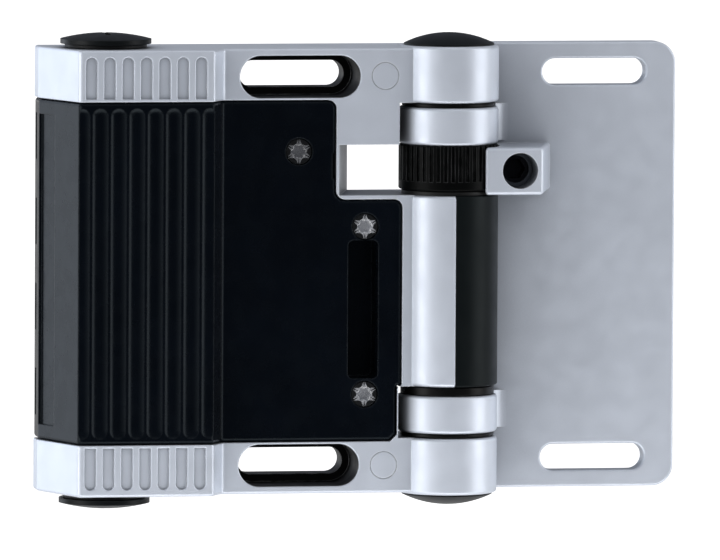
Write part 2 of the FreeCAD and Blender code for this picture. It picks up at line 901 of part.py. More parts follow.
def bush(flange_low, flange_high, sleeve_end):
    """Flanged bush whose sleeve runs from its flange to sleeve_end."""
    low = min(flange_low, sleeve_end)
    high = max(flange_high, sleeve_end)
    sleeve = rod_z(bush_r, 0, axis_depth, low, high)
    corners = [
        (0, flange_low, 0),
        (bush_flange_r, flange_low, 0.3),
        (bush_flange_r, flange_high, 0.3),
        (0, flange_high, 0),
    ]
    flange = turned(corners, 0, axis_depth)
    return fuse([sleeve, flange]).cut(rod_z(pin_r + running_gap, 0, axis_depth, -far, far))


def bush_upper():
    return bush(ring_outer_end, knuckle_end - end_gap, ring_inner_end)


def bush_lower_inner():
    middle = -(ring_inner_end + ring_outer_end) / 2
    return bush(-ring_inner_end, barrel_bottom - end_gap, middle)


def bush_lower_outer():
    middle = -(ring_inner_end + ring_outer_end) / 2
    return bush(-knuckle_end + end_gap, -ring_outer_end, middle)


def barrel_cover():
    """Half shell over the right side of the barrel."""
    inner = barrel_bore_r + seat_gap
    corners = [
        (inner, barrel_bottom, 0),
        (barrel_r, barrel_bottom, 0.4),
        (barrel_r, barrel_top, 0.4),
        (inner, barrel_top, 0),
    ]
    return turned(corners, 0, axis_depth).common(box(seat_gap, far, -far, far, -far, far))


def sleeve_seal():
    """Shaft seal with a washer under the setting ring."""
    inner = sleeve_r + running_gap
    low = barrel_top - seal_height
    high = setting_bottom - end_gap
    corners = [
        (inner, low, 0),
        (seal_r, low, 0),
        (seal_r, barrel_top, 0),
        (bush_flange_r, barrel_top, 0),
        (bush_flange_r, high, 0.2),
        (inner, high, 0),
    ]
    return turned(corners, 0, axis_depth)


# Setting ring, sleeve and cam


def key(grow, z0, z1):
    half = key_width / 2 + grow
    return box(0, sleeve_r + key_height + grow, axis_depth - half, axis_depth + half, z0, z1)


def toothed_disc(z0, z1):
    """Disc with straight tooth spaces, one of which faces +X."""
    root_r = barrel_r - tooth_depth
    side = [(barrel_r, -groove_top), (root_r, -groove_root), (root_r, groove_root), (barrel_r, groove_top)]
    corners = []
    for i in range(teeth):
        for radius, width in side:
            angle = 2 * math.pi * i / teeth + math.asin(width / 2 / radius)
            corners.append((radius * math.cos(angle), axis_depth - radius * math.sin(angle), 0))
    return top_prism(corners, z0, z1)


def setting_ring():
    collar_top = setting_bottom + collar_height
    ring = fuse([
        toothed_disc(collar_top, setting_top),
        rod_z(barrel_r, 0, axis_depth, setting_bottom, collar_top),
    ])
    ring = ring.common(hinge_ring(setting_bottom, setting_top, 0.4))
    bore = rod_z(sleeve_r + seat_gap, 0, axis_depth, -far, far)
    return ring.cut([bore, key(seat_gap, -far, far)])


def cam_sleeve():
    low = barrel_bottom + barrel_wall_end + end_gap
    half = cam_height / 2
    sleeve = fuse([
        rod_z(sleeve_r, 0, axis_depth, low, setting_top),
        key(0, setting_bottom, setting_top),
        key(0, cam_z - half, cam_z + half),
    ])
    return sleeve.cut(rod_z(pin_r + running_gap, 0, axis_depth, -far, far))


def cam_flank(angle):
    """Distance of the cam's tangent from the axis, and its slope, at an angle from rest (radians)."""
    slope = cam_lift / math.pi
    spare = math.radians(cam_spare)
    if angle <= math.pi + spare:
        return cam_start + slope * angle, slope
    span = math.pi - 2 * spare
    t = (angle - math.pi - spare) / span
    high = cam_start + slope * (math.pi + spare)
    drop = slope * (math.pi + 2 * spare)
    ease = 3 * t**2 - 2 * t**3
    bend = t**3 - 2 * t**2 + t + t**3 - t**2
    distance = high - drop * ease + slope * span * bend
    ease_rate = (6 * t - 6 * t**2) / span
    bend_rate = (6 * t**2 - 6 * t + 1) / span
    return distance, -drop * ease_rate + slope * span * bend_rate


def switch_cam():
    """Cam whose flank lifts a flat follower in step with the angle, as an involute does."""
    spare = math.radians(cam_spare)
    points = []
    for i in range(cam_points):
        turn = -spare + 2 * math.pi * i / cam_points
        distance, slope = cam_flank(turn)
        facing = math.pi + turn
        x = distance * math.cos(facing) - slope * math.sin(facing)
        y = distance * math.sin(facing) + slope * math.cos(facing)
        points.append(point(x, axis_depth - y, cam_z - cam_height / 2))
    curve = Part.BSplineCurve()
    curve.interpolate(points, True)
    disc = Part.Face(Part.Wire(curve.toShape())).extrude(Vector(0, 0, cam_height))
    bore = rod_z(sleeve_r + seat_gap, 0, axis_depth, -far, far)
    return disc.cut([bore, key(seat_gap, -far, far)])


# Setting worm


def setting_worm():
    """Worm that stands in the lug, drawn along Z and then tipped towards the front."""
    turns = (worm_head - worm_thread_from) / worm_pitch + 2
    start = axis_depth - worm_pitch * (math.floor(turns / 2) + 0.5)
    inner = worm_root_r - 0.1
    profile = [
        Vector(inner, 0, -worm_base / 2),
        Vector(worm_r, 0, -worm_tip / 2),
        Vector(worm_r, 0, worm_tip / 2),
        Vector(inner, 0, worm_base / 2),
    ]
    section = Part.makePolygon(profile + [profile[0]])
    helix = Part.makeHelix(worm_pitch, turns * worm_pitch, worm_root_r)
    thread = helix.makePipeShell([section], True, True)
    thread.translate(Vector(0, 0, start))
    room = Part.makeCylinder(worm_r + 1, worm_head - worm_thread_from, Vector(0, 0, worm_thread_from))
    root = Part.makeCylinder(worm_root_r, worm_head - worm_foot, Vector(0, 0, worm_foot))
    journal = Part.makeCylinder(worm_r, worm_thread_from - worm_foot, Vector(0, 0, worm_foot))
    worm = root.fuse([journal, thread.common(room)])
    worm = worm.cut(hex_socket())
    worm.rotate(Vector(0, 0, 0), Vector(1, 0, 0), 90)
    worm.translate(Vector(worm_x, 0, worm_z))
    return worm


def hex_socket():
    corner_r = socket_flats / math.sqrt(3)
    low = worm_head - socket_depth
    points = []
    for i in range(7):
        angle = math.pi * i / 3
        points.append(Vector(corner_r * math.cos(angle), corner_r * math.sin(angle), low))
    return Part.Face(Part.makePolygon(points)).extrude(Vector(0, 0, far))


def worm_retainer():
    ring = rod_y(worm_r + worm_gap - seat_gap, worm_x, worm_z, worm_head, worm_head + retainer_thick)
    room = rod_z(barrel_r + lug_ring_gap, 0, axis_depth, -far, far)
    return ring.cut([rod_y(retainer_bore_r, worm_x, worm_z, -1, far), room])


# Door leaf


def leaf_plate():
    corners = [
        (leaf_inner, -leaf_top, 0.8),
        (leaf_outer, -leaf_top, leaf_corner_r),
        (leaf_outer, leaf_top, leaf_corner_r),
        (leaf_inner, leaf_top, 0.8),
    ]
    plate = front_prism(corners, 0, leaf_thick)
    for z in (-slot_z, slot_z):
        plate = plate.cut(slot_prism(slot_length, slot_width, slot_x, z, -1, leaf_thick + 1))
    return round_edges(plate, mouth_round, lambda b: flat_at(b.YMin, b.YMax, -leaf_thick))


def leaf_arm(z0, z1):
    """Joins a ring to the plate, with a hollow fillet tangent to both."""
    centre_depth = leaf_thick + leaf_fillet
    reach = barrel_r + leaf_fillet
    centre_x = math.sqrt(reach**2 - (axis_depth - centre_depth) ** 2)
    on_ring = barrel_r / reach
    ring_point = point(centre_x * on_ring, axis_depth - (axis_depth - centre_depth) * on_ring, z0)
    plate_point = point(centre_x, leaf_thick, z0)
    centre = point(centre_x, centre_depth, z0)
    halfway = ((ring_point - centre) + (plate_point - centre)).normalize() * leaf_fillet
    corners = [
        plate_point,
        point(centre_x, 0, z0),
        point(arm_end, 0, z0),
        point(arm_end, axis_depth - pin_r, z0),
        ring_point,
    ]
    edges = [Part.makeLine(a, b) for a, b in zip(corners, corners[1:])]
    edges.append(Part.Arc(ring_point, centre + halfway, plate_point).toShape())
    return Part.Face(Part.Wire(edges)).extrude(Vector(0, 0, z1 - z0))


def lug():
    """Lug for the setting worm, hollowed round the setting ring."""
    front = axis_depth + lug_proud
    right = worm_x + lug_right_wide
    slope = lug_splay / (front - leaf_thick)
    base = leaf_thick - lug_sunk
    low = worm_z - lug_below
    high = worm_z + lug_above
    corners = [
        (leaf_inner - 1, base, 0),
        (right + lug_splay + lug_sunk * slope, base, 0),
        (right, front, lug_round),
        (worm_x - lug_left_wide, front, lug_round),
    ]
    block = top_prism(corners, low, high)

    def outer_edge(b):
        at_end = flat_at(b.ZMin, b.ZMax, low) or flat_at(b.ZMin, b.ZMax, high)
        on_back = flat_at(b.YMin, b.YMax, -base)
        on_left = b.XMax < leaf_inner + 0.01
        return at_end and not on_back and not on_left

    block = round_edges(block, lug_round, outer_edge)
    return block.cut(rod_z(barrel_r + lug_ring_gap, 0, axis_depth, -far, far))


def door_leaf():
    ends = [(ring_inner_end, ring_outer_end), (-ring_outer_end, -ring_inner_end)]
    rings = [hinge_ring(z0, z1, ring_round) for z0, z1 in ends]
    arms = [leaf_arm(z0, z1) for z0, z1 in ends]
    leaf = fuse([leaf_plate(), lug()] + rings + arms)
    bush_bore = rod_z(bush_r + seat_gap, 0, axis_depth, -far, far)
    worm_bore = rod_y(worm_r + worm_gap, worm_x, worm_z, worm_foot - end_gap, far)
    return leaf.cut([bush_bore, worm_bore]).removeSplitter()


# Plunger and contacts


def plunger():
    back = plunger_face + head_thick
    half = head_width / 2
    head = box(-back, -plunger_face, head_low, head_high, cam_z - half, cam_z + half)
    stem = rod_x(stem_r, stem_depth, cam_z, -stem_end, -back + 0.5)
    collar = rod_x(collar_r, stem_depth, cam_z, -collar_x - collar_thick, -collar_x)
    return fuse([head, stem, collar])


def contact_side(closed):
    """+1 where the fixed contacts stand on the door side of the bridge, which opens them when it moves."""
    return 1 if closed else -1


def contact_bridges():
    bridges = []
    for x, closed in zip(contact_x, contact_closed):
        half = bridge_thick / 2
        width = bridge_width / 2
        low = cam_z - bridge_half
        high = cam_z + bridge_half
        strip = box(-x - half, -x + half, stem_depth - width, stem_depth + width, low, high)
        side = contact_side(closed)
        start = min(0, side * (half + rivet_thick))
        studs = []
        for z in (cam_z - rivet_z, cam_z + rivet_z):
            studs.append(rod_x(rivet_r, stem_depth, z, -x + start, -x + start + half + rivet_thick))
        hole = rod_x(stem_r + seat_gap, stem_depth, cam_z, -far, far)
        bridges.append(fuse([strip] + studs).cut(hole))
    return Part.makeCompound(bridges)


def contact_start(x, closed):
    """X of the face of a fixed contact's tab."""
    reach = bridge_thick / 2 + rivet_thick + contact_gap
    return -x + reach if closed else -x - reach - cam_lift


def fixed_contact(x, closed, up, grow):
    """Tab beside the bridge and a bar that runs out to the terminal screw; up is +1 or -1 along Z."""
    side = contact_side(closed)
    start = contact_start(x, closed)
    ends = sorted((start, start + side * tab_thick))
    bar = sorted((start, start + side * bar_length))
    near = cam_z + up * tab_start
    tab_end = cam_z + up * bridge_half
    far_end = cam_z + up * bar_end
    tab_z = sorted((near, tab_end))
    bar_z = sorted((near, far_end))
    tab = box(ends[0] - grow, ends[1] + grow, stem_depth - bridge_width / 2, bar_front, tab_z[0], tab_z[1])
    strip = box(bar[0] - grow, bar[1] + grow, bar_back - grow, bar_front, bar_z[0] - grow, bar_z[1] + grow)
    return fuse([tab, strip])


def terminal_places():
    places = []
    for x, closed in zip(contact_x, contact_closed):
        middle = contact_start(x, closed) + contact_side(closed) * bar_length / 2
        places += [(middle, cam_z + terminal_z), (middle, cam_z - terminal_z)]
    return places


def fixed_contacts():
    shank_r = terminal_shank_r + seat_gap
    shanks = [rod_y(shank_r, x, z, 0, far) for x, z in terminal_places()]
    contacts = []
    for x, closed in zip(contact_x, contact_closed):
        contacts += [fixed_contact(x, closed, up, 0).cut(shanks) for up in (1, -1)]
    return Part.makeCompound(contacts)


def terminal_screws():
    screws = []
    for x, z in terminal_places():
        head = rod_y(terminal_head_r, x, z, bar_front, bar_front + terminal_head)
        shank = rod_y(terminal_shank_r, x, z, bar_front - terminal_shank, bar_front)
        half = terminal_slot / 2
        slot = box(x - far, x + far, bar_front + terminal_head - terminal_slot, far, z - half, z + half)
        screws.append(fuse([head, shank]).cut(slot))
    return Part.makeCompound(screws)


def contact_block():
    low = cam_z - block_half
    high = cam_z + block_half
    block = box(-block_left, -block_right, tub_floor, block_front, low, high)
    channel_left = -block_left + block_wall
    channel_right = -block_right - block_wall
    reach = (cam_z - channel_half, cam_z + channel_half)
    channel = box(channel_left, channel_right, channel_back, far, *reach)
    cuts = [channel, rod_x(stem_r + running_gap, stem_depth, cam_z, -far, far)]
    for x, closed in zip(contact_x, contact_closed):
        for up in (1, -1):
            bar = fixed_contact(x, closed, up, seat_gap).BoundBox
            cuts.append(box(bar.XMin, bar.XMax, bar_back, far, bar.ZMin, bar.ZMax))
    for x, z in terminal_places():
        cuts.append(rod_y(terminal_head_r + 0.2, x, z, bar_front, far))
        cuts.append(rod_y(terminal_shank_r + seat_gap, x, z, bar_front - terminal_shank - 0.2, far))
    return block.cut(cuts)


def return_spring():
    """Coil spring between the plunger's collar and the end wall of the contact block."""
    start = -block_left + block_wall + spring_wire_r
    length = block_left - block_wall - collar_x - collar_thick - 2 * spring_wire_r
    helix = Part.makeHelix(length / spring_turns, length, spring_r)
    section = Part.Wire(Part.makeCircle(spring_wire_r, Vector(spring_r, 0, 0), Vector(0, 1, 0)))
    coil = helix.makePipeShell([section], True, True)
    coil.rotate(Vector(0, 0, 0), Vector(0, 1, 0), 90)
    coil.translate(point(start, stem_depth, cam_z))
    return coil


def earth_screw():
    corners = [
        (0, earth_boss_front - earth_shank, 0),
        (earth_shank_r, earth_boss_front - earth_shank, 0.3),
        (earth_shank_r, earth_boss_front, 0),
        (earth_head_r, earth_boss_front, 0),
        (earth_head_r, earth_boss_front + earth_head, 0.4),
        (0, earth_boss_front + earth_head, 0),
    ]
    return turned_front(corners, -earth_x, earth_z)


def build():
    cap = pin_cap()
    plug = blanking_plug()
    seal = plug_seal()
    return {
        "housing": housing(),
        "cover": cover(),
        "cover_gasket": cover_gasket(),
        "cover_screws": cover_screws(),
        "blanking_plug_top": plug,
        "blanking_plug_bottom": mirrored(plug),
        "plug_seal_top": seal,
        "plug_seal_bottom": mirrored(seal),
        "pin_cap_top": cap,
        "pin_cap_bottom": mirrored(cap),
        "hinge_pin": hinge_pin(),
        "bush_upper": bush_upper(),
        "bush_lower_inner": bush_lower_inner(),
        "bush_lower_outer": bush_lower_outer(),
        "barrel_cover": barrel_cover(),
        "sleeve_seal": sleeve_seal(),
        "setting_ring": setting_ring(),
        "cam_sleeve": cam_sleeve(),
        "switch_cam": switch_cam(),
        "setting_worm": setting_worm(),
        "worm_retainer": worm_retainer(),
        "door_leaf": door_leaf(),
        "plunger": plunger(),
        "contact_bridges": contact_bridges(),
        "return_spring": return_spring(),
        "contact_block": contact_block(),
        "fixed_contacts": fixed_contacts(),
        "terminal_screws": terminal_screws(),
        "earth_screw": earth_screw(),
    }


os.makedirs("parts", exist_ok=True)
for name, shape in build().items():
    shape.exportStep(f"parts/{name}.step")
    print(name, len(shape.Solids), "solid(s), valid:", shape.isValid(), "volume", round(shape.Volume, 1))
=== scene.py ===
import math

import bpy
from mathutils import Matrix, Vector


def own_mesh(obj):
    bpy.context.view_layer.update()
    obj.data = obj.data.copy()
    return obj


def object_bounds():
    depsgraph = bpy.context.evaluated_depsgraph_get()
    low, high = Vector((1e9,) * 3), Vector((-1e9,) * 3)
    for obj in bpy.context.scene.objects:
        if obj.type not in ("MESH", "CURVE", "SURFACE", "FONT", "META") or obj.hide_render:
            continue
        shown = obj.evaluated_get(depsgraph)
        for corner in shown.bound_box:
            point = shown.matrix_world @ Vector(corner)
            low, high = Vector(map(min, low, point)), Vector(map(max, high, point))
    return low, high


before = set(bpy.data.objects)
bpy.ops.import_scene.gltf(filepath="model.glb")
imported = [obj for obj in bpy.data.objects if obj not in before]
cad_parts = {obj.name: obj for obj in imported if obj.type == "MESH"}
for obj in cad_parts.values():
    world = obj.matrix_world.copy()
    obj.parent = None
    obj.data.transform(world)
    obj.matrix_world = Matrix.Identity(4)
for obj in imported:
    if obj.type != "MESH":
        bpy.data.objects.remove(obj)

# Looks of the hinge safety switch. Everything is in metres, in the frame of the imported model:
# X across the hinge, Z up along its axis, and the front facing -Y.

CAD_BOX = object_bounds()
LOW, HIGH = (Vector(corner) for corner in CAD_BOX)
MIDDLE = (LOW + HIGH) / 2

# Camera, as directions round the object's front (degrees) and a lens long enough to flatten it
CAMERA_AZIMUTH = -9.7
CAMERA_ELEVATION = 4.3
CAMERA_ROLL = 0.3
CAMERA_DISTANCE = 3.0
CAMERA_REACH = 20  # clipping distance
CAMERA_LENS = 710.5  # mm
CAMERA_SENSOR = 36  # mm wide
CAMERA_AIM = (-0.00045, 0.0, -0.00245)  # from the middle of the object's box

WHITE = (1.0, 1.0, 1.0)

# Studio: what gloss shows of it
BACKDROP = WHITE
ROOM = (0.055, 0.06, 0.075)  # the dim room behind the camera
CEILING = (0.15, 0.16, 0.19)
ROOM_TURN = -0.9  # times a direction's X, added to its Y: the room is in front and to the right
ROOM_EDGE = (-0.75, 0.6)  # of that sum: room up to the first, backdrop from the second
CEILING_EDGE = (-0.02, 0.10)  # of a direction's Z: the ceiling begins at eye level

# Studio: its even light and its floor
DIFFUSE_LEVEL = 0.62  # on matt surfaces, from all round
FLOOR_DROP = 0.30  # floor below the object, which hangs on a guard in use
FLOOR_REACH = 14.0  # to the left, right and back
FLOOR_FRONT = -0.5
FLOOR_ROUGHNESS = 0.8
FLOOR_GREYS = ((0.80, 0.80, 0.80), (0.84, 0.84, 0.84))
FLOOR_SPECKLE = 40  # features per metre
FLOOR_LIFT = 0.75  # added to the floor for the camera, so that it is white outside the shadow

# Soft panels of light: name, azimuth and elevation (degrees round the object's front), distance,
# width, height, power (W) and colour
PANELS = (
    ("left_panel", -75, 10, 0.9, 0.5, 0.9, 2.95, WHITE),
    ("back_left_panel", -135, 10, 0.9, 0.5, 0.9, 1.9, (0.8, 0.88, 1.0)),
    ("right_panel", 70, 10, 0.9, 0.5, 0.9, 2.7, WHITE),
    ("low_panel", 0, -50, 0.20, 0.4, 0.08, 0.18, WHITE),
    ("top_panel", 10, 65, 0.9, 0.9, 0.5, 0.8, WHITE),
)

# What all finishes share
NOISE_MIDDLE = (0.35, 0.65)  # the range in which a noise texture mostly lies
# Rounded normal dot true normal: wholly an edge up to the first, flat from the second
FLAT_OR_EDGE = (0.75, 0.98)
CLOUD_SCALE = 90  # colour mottle, in features per metre
EDGE_PATCH_SCALE = 400  # breaks in the wear and painted highlight along edges
EDGE_PATCH_LEAST = 0.2  # share of the wear and painted highlight that is left in those breaks
GLOSS_SCALE = 260  # uneven roughness
GLOSS_CHANGE = 0.04  # roughness more and less than the finish's own
OPEN_AIR = (0.15, 0.97)  # openness of a place: full painted shade up to the first, none from the second
HOLLOW_SHADE_LEVEL = 0.3  # brightness of the painted shade in hollows, as a share of the finish's own
BUMP_STRENGTH = 0.6
BEVEL_SAMPLES = 4
OPEN_AIR_SAMPLES = 8

# Counterbored slots of the housing, one at +SLOT_Z and one at -SLOT_Z
SLOT_X, SLOT_Z = -0.0327, 0.041
SLOT_REACH = 0.0084  # from a slot's middle to the middle of its round ends
RECESS_RADIUS = 0.0045
RECESS_FRONT, RECESS_BACK = -0.0179, -0.0002  # Y behind the mouths and before the back face

# Walls of the housing beside the leaf's rings and the setting ring
HINGE_Y = -0.0123
RING_WALL = (0.0111, 0.0128)  # from the hinge axis
RING_HEIGHTS = ((-0.0355, -0.0248), (0.0155, 0.0355))
UPRIGHT = 0.5  # a wall's normal has less than this along Z

# Cover screws, by X and Z
SCREW_PLACES = ((-0.0329, 0.0252), (-0.0187, 0.0093), (-0.0187, -0.0261))
DRIVE_RADIUS = 0.00185

SILVER = (0.72, 0.77, 0.86)
# Lighter colour of silver edges: wear, and painted highlight along them
SILVER_EDGE = (0.95, 0.97, 1.0)
COVER_BLACK = (0.0016, 0.0026, 0.0048)
PLAIN_BLACK = (0.005, 0.0065, 0.0072)
# Lighter colour of black edges: wear, and painted highlight along them
BLACK_EDGE = (0.05, 0.055, 0.06)
STEEL = (0.62, 0.62, 0.62)
BRASS = (0.72, 0.52, 0.24)

# What surface() takes for each finish. Their lighter edge colours are partly wear and partly
# painted highlight; shade is how far painted shade reaches in hollows.
LOOKS = {
    # Casting: lighter edges are wear and painted highlight lines; its shade is painted shade in
    # hollows.
    "casting": dict(
        colour=SILVER, edge_wear_and_highlight=SILVER_EDGE, metallic=0.5, roughness=0.40, grain=2600,
        grain_depth=0.000012, mottle=0.04, edge=0.00025, edge_share=0.9, shade=0.03,
    ),
    # Near-black finish for housing walls that lie in shade: painted shade, with edges lit as
    # painted highlight.
    "recess": dict(
        colour=(0.012, 0.0115, 0.011), edge_wear_and_highlight=SILVER_EDGE, metallic=0.6, roughness=0.45, grain=2600,
        grain_depth=0.000012, specular=0.2, edge_share=1.0,
    ),
    # Cover: lighter edges paint highlights on rib crests and bore mouths, partly wear.
    "cover": dict(
        colour=COVER_BLACK, edge_wear_and_highlight=BLACK_EDGE, metallic=0.0, roughness=0.26, grain=3200,
        grain_depth=0.00001, specular=0.17, mottle=0.3, edge=0.0004, tint=(0.75, 0.9, 1.0),
    ),
    "cap": dict(
        colour=PLAIN_BLACK, edge_wear_and_highlight=BLACK_EDGE, metallic=0.0, roughness=0.36, grain=2600,
        grain_depth=0.000008, specular=0.15, mottle=0.2,
    ),
    "barrel": dict(
        colour=(0.0035, 0.005, 0.0055), edge_wear_and_highlight=BLACK_EDGE, metallic=0.0, roughness=0.40, grain=3000,
        grain_depth=0.00001, specular=0.14, edge=0.00015, edge_share=0.2, tint=(0.85, 0.97, 1.0),
    ),
    # Setting ring: lighter edges paint highlights on the knurl's ridges, partly wear.
    "ring": dict(
        colour=(0.0012, 0.0014, 0.0014), edge_wear_and_highlight=(0.13, 0.135, 0.14), metallic=0.0, roughness=0.38,
        grain=2600, grain_depth=0.000008, specular=0.07, edge=0.0002, edge_share=0.9,
    ),
    "rubber": dict(
        colour=(0.006, 0.006, 0.006), edge_wear_and_highlight=BLACK_EDGE, metallic=0.0, roughness=0.5, grain=2600,
        grain_depth=0.00001, specular=0.3,
    ),
    "bush": dict(
        colour=(0.003, 0.003, 0.003), edge_wear_and_highlight=BLACK_EDGE, metallic=0.0, roughness=0.3, grain=2600,
        grain_depth=0.000006, specular=0.15,
    ),
    "screw": dict(
        colour=(0.85, 0.86, 0.88), edge_wear_and_highlight=WHITE, metallic=0.8, roughness=0.22, grain=2500,
        grain_depth=0.00008, mottle=0.6,
    ),
    # Screw heads: lighter edges are partly wear, partly painted highlight on the head's edges.
    "screw_head": dict(
        colour=(0.012, 0.013, 0.014), edge_wear_and_highlight=(0.2, 0.22, 0.24), metallic=0.6, roughness=0.4,
        grain=2600, grain_depth=0.00001, edge=0.0002, edge_share=1.0,
    ),
    "blackened": dict(
        colour=(0.03, 0.03, 0.032), edge_wear_and_highlight=(0.1, 0.1, 0.1), metallic=1.0, roughness=0.4, grain=2600,
        grain_depth=0.00001,
    ),
    "steel": dict(
        colour=STEEL, edge_wear_and_highlight=(0.85, 0.85, 0.85), metallic=1.0, roughness=0.25, grain=1500,
        grain_depth=0.00001, stretch=(1, 1, 6),
    ),
    "retainer": dict(
        colour=(0.16, 0.17, 0.18), edge_wear_and_highlight=(0.4, 0.4, 0.4), metallic=1.0, roughness=0.4, grain=1500,
        grain_depth=0.00001,
    ),
    "brass": dict(
        colour=BRASS, edge_wear_and_highlight=(0.9, 0.75, 0.45), metallic=1.0, roughness=0.3, grain=1500,
        grain_depth=0.00001,
    ),
    "plunger": dict(
        colour=(0.42, 0.03, 0.02), edge_wear_and_highlight=(0.6, 0.2, 0.16), metallic=0.0, roughness=0.4, grain=2600,
        grain_depth=0.00001,
    ),
    "cam": dict(
        colour=(0.62, 0.58, 0.46), edge_wear_and_highlight=(0.8, 0.78, 0.7), metallic=0.0, roughness=0.4, grain=2600,
        grain_depth=0.00001,
    ),
    "block": dict(
        colour=(0.02, 0.02, 0.021), edge_wear_and_highlight=BLACK_EDGE, metallic=0.0, roughness=0.5, grain=2600,
        grain_depth=0.00001, specular=0.4,
    ),
}

# The pieces that each finish covers. "recess" and "screw_head" go on single faces further down.
FINISHES = {
    "casting": ["housing", "door_leaf"],
    "cover": ["cover"],
    "cap": ["pin_cap_top", "pin_cap_bottom", "blanking_plug_top", "blanking_plug_bottom"],
    "barrel": ["barrel_cover"],
    "ring": ["setting_ring"],
    "rubber": ["plug_seal_top", "plug_seal_bottom", "sleeve_seal", "cover_gasket"],
    "bush": ["bush_upper", "bush_lower_inner", "bush_lower_outer"],
    "screw": ["cover_screws", "terminal_screws", "earth_screw"],
    "blackened": ["setting_worm"],
    "retainer": ["worm_retainer"],
    "steel": ["hinge_pin", "cam_sleeve", "return_spring"],
    "brass": ["contact_bridges", "fixed_contacts"],
    "plunger": ["plunger"],
    "cam": ["switch_cam"],
    "block": ["contact_block"],
}


def tree_of(name):
    made = bpy.data.materials.new(name)
    made.use_nodes = True
    return made, made.node_tree.nodes, made.node_tree.links


def noise(nodes, links, scale, detail=4.0, stretch=(1, 1, 1)):
    """Noise in the object's own space; scale is in features per metre."""
    place = nodes.new("ShaderNodeTexCoord")
    mapping = nodes.new("ShaderNodeMapping")
    mapping.inputs["Scale"].default_value = stretch
    texture = nodes.new("ShaderNodeTexNoise")
    texture.inputs["Scale"].default_value = scale
    texture.inputs["Detail"].default_value = detail
    links.new(place.outputs["Object"], mapping.inputs["Vector"])
    links.new(mapping.outputs["Vector"], texture.inputs["Vector"])
    return texture.outputs["Fac"]


def spread(nodes, links, value, low, high, between=NOISE_MIDDLE):
    """Stretches the range between two values, by default a noise's middle range, to low..high."""
    mapped = nodes.new("ShaderNodeMapRange")
    mapped.inputs["From Min"].default_value = between[0]
    mapped.inputs["From Max"].default_value = between[1]
    mapped.inputs["To Min"].default_value = low
    mapped.inputs["To Max"].default_value = high
    links.new(value, mapped.inputs["Value"])
    return mapped.outputs["Result"]


def maths(nodes, links, operation, *values):
    """Math node. Each value is a number or the output of another node."""
    node = nodes.new("ShaderNodeMath")
    node.operation = operation
    for socket, value in zip(node.inputs, values):
        if isinstance(value, (int, float)):
            socket.default_value = value
        else:
            links.new(value, socket)
    return node.outputs[0]


def mix_colour(nodes, links, factor, first, second):
    """Mixes two colours, each a tuple or the output of another node."""
    mix = nodes.new("ShaderNodeMix")
    mix.data_type = "RGBA"
    links.new(factor, mix.inputs["Factor"])
    for socket, value in (("A", first), ("B", second)):
        target = [s for s in mix.inputs if s.name == socket and s.type == "RGBA"][0]
        if isinstance(value, tuple):
            target.default_value = (*value, 1)
        else:
            links.new(value, target)
    return [s for s in mix.outputs if s.type == "RGBA"][0]


def edge_mask(nodes, links, radius):
    """The normal of rounded edges, and how far a place is on one: 0 on flat stretches, up to 1."""
    bevel = nodes.new("ShaderNodeBevel")
    bevel.samples = BEVEL_SAMPLES
    bevel.inputs["Radius"].default_value = radius
    geometry = nodes.new("ShaderNodeNewGeometry")
    likeness = nodes.new("ShaderNodeVectorMath")
    likeness.operation = "DOT_PRODUCT"
    links.new(bevel.outputs["Normal"], likeness.inputs[0])
    links.new(geometry.outputs["Normal"], likeness.inputs[1])
    on_edge = spread(nodes, links, likeness.outputs["Value"], 1, 0, FLAT_OR_EDGE)
    return bevel.outputs["Normal"], on_edge


def painted_hollow_shade(nodes, links, body, colour, reach):
    """The body's colour darkened by painted shade in corners and recesses, as far as reach from the
    next wall.
    """
    open_air = nodes.new("ShaderNodeAmbientOcclusion")
    open_air.samples = OPEN_AIR_SAMPLES
    open_air.inputs["Distance"].default_value = reach
    clear = spread(nodes, links, open_air.outputs["AO"], 0, 1, OPEN_AIR)
    shade_colour = tuple(c * HOLLOW_SHADE_LEVEL for c in colour)
    return mix_colour(nodes, links, clear, shade_colour, body)


